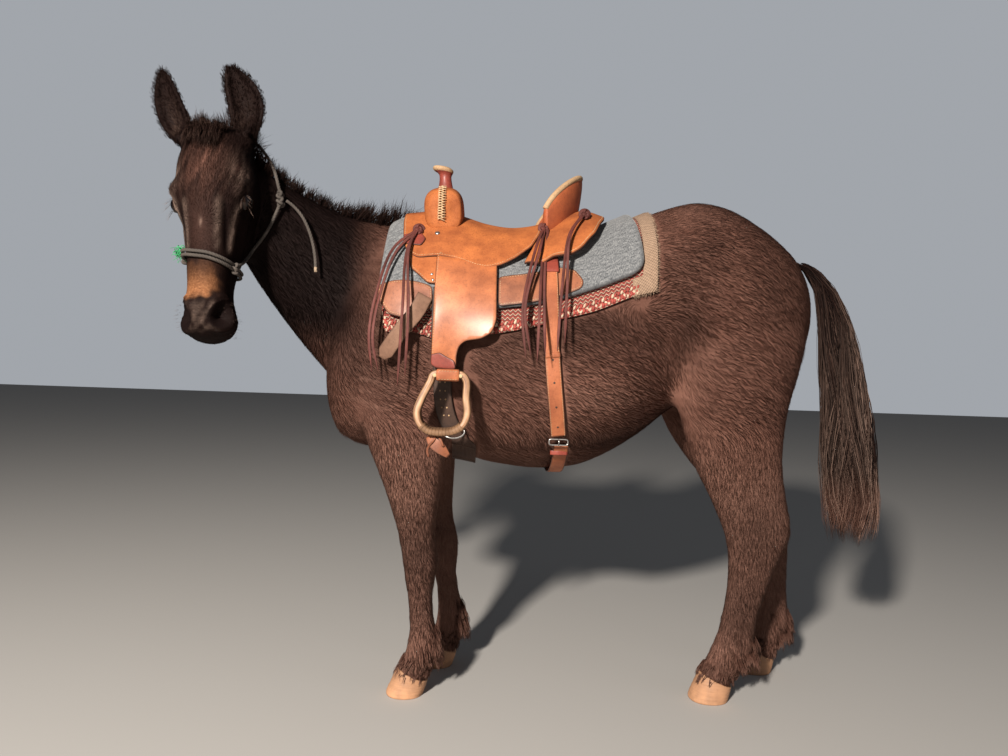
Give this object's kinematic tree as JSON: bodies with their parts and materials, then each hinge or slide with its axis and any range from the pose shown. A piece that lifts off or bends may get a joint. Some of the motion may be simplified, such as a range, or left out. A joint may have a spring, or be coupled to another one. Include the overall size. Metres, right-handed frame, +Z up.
{
  "type": "saddled mule",
  "caption": "Standing mule in winter coat with its head turned to its left, wearing a western saddle, felt pad, woven blanket and rope halter.",
  "frame": {"origin": "centre of the bounding box, at the level of the soles", "axes": "+X from the head towards the tail, +Y towards the mule's right side, +Z up"},
  "size_m": [2.1714, 0.74, 1.7691],
  "materials": {
    "coat": "short dark brown winter coat, near black on neck and lower legs, tan above the muzzle",
    "hair": "coarse black hair with rusty ends",
    "eye": "moist dark brown",
    "hoof": "dusty tan horn",
    "blanket": "woven wool with red and cream zigzag",
    "trim": "plain tan woven edge",
    "felt": "grey pressed wool felt",
    "leather": "smooth tan saddle leather",
    "cherry_leather": "dark red brown leather",
    "dark_leather": "dark oiled leather",
    "stirrup_wood": "varnished pale wood",
    "steel": "dull steel",
    "rope": "grey braided rope",
    "twine": "green plastic twine"
  },
  "bodies": {
    "root": {"torso": "coat", "hoof_front_left": "hoof", "leg_front_left": "coat", "neck": "coat", "hoof_front_right": "hoof", "leg_front_right": "coat", "hoof_hind_left": "hoof", "leg_hind_left": "coat", "hoof_hind_right": "hoof", "leg_hind_right": "coat", "head": "coat", "eye_left": "eye", "eye_right": "eye", "ear_left": "coat", "ear_right": "coat", "tail": "hair", "blanket": "blanket", "blanket_trim": "trim", "felt_pad": "felt", "wear_leather_front_left": "leather", "wear_leather_front_right": "leather", "wear_leather_rear_left": "leather", "wear_leather_rear_right": "leather", "seat": "leather", "rear_jockey": "leather", "swell": "leather", "horn": "cherry_leather", "cantle": "cherry_leather", "rigging_plate_left": "leather", "rigging_plate_right": "leather", "fender_left": "leather", "fender_right": "leather", "hobble_strap_left": "cherry_leather", "hobble_strap_right": "cherry_leather", "stirrup_left": "stirrup_wood", "stirrup_right": "stirrup_wood", "stirrup_leather_left": "leather", "stirrup_leather_right": "leather", "latigo_left": "dark_leather", "latigo_right": "dark_leather", "latigo_tail_left": "leather", "cinch_front": "rope", "flank_billet_left": "leather", "flank_billet_right": "leather", "flank_strap_left": "leather", "flank_strap_right": "leather", "flank_buckle_left": "steel", "flank_buckle_right": "steel", "cinch_flank": "leather", "strings_front_left": "cherry_leather", "strings_front_right": "cherry_leather", "strings_middle_left": "cherry_leather", "strings_middle_right": "cherry_leather", "strings_rear_left": "cherry_leather", "strings_rear_right": "cherry_leather", "halter": "rope", "halter_rope_end": "rope", "twine_knot": "twine", "forelock": "hair", "mane": "hair"}
  },
  "joints": []
}
